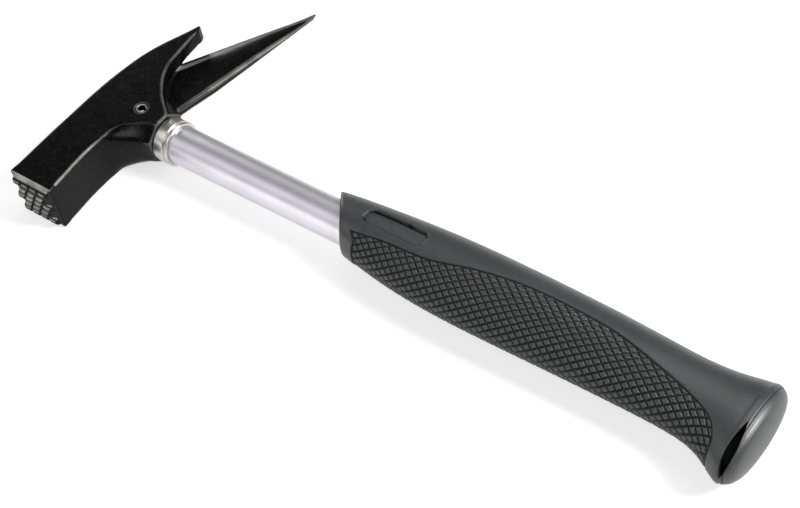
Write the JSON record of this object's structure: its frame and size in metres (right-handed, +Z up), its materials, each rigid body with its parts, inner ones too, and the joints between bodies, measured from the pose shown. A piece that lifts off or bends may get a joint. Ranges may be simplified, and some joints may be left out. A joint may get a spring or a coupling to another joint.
{
  "type": "lath hammer",
  "caption": "Roofer's lath hammer: toothed striking face, claw tine and long spike on a forged head, steel tube shaft, flared rubber grip.",
  "frame": {"origin": "on the lower cheek of the head, straight below the point where the shaft's axis crosses the head's axis", "axes": "+X along the shaft from head to butt, +Y through the head from the striking face to the spike, +Z up, square to the cheeks, with the hammer lying on its side"},
  "size_m": [0.3875, 0.1741, 0.0276],
  "materials": {
    "head_paint": "semi-gloss black paint",
    "collar_steel": "polished",
    "tube_steel": "satin silver",
    "pin_steel": "blackened",
    "core_wood": "bare beech",
    "plug_nylon": "natural nylon",
    "grip_rubber": "matte dark grey"
  },
  "bodies": {
    "root": {"head": "head_paint", "collar": "collar_steel", "shaft_tube": "tube_steel", "cross_pin": "pin_steel", "shaft_core": "core_wood", "end_plug": "plug_nylon", "grip": "grip_rubber"}
  },
  "joints": []
}
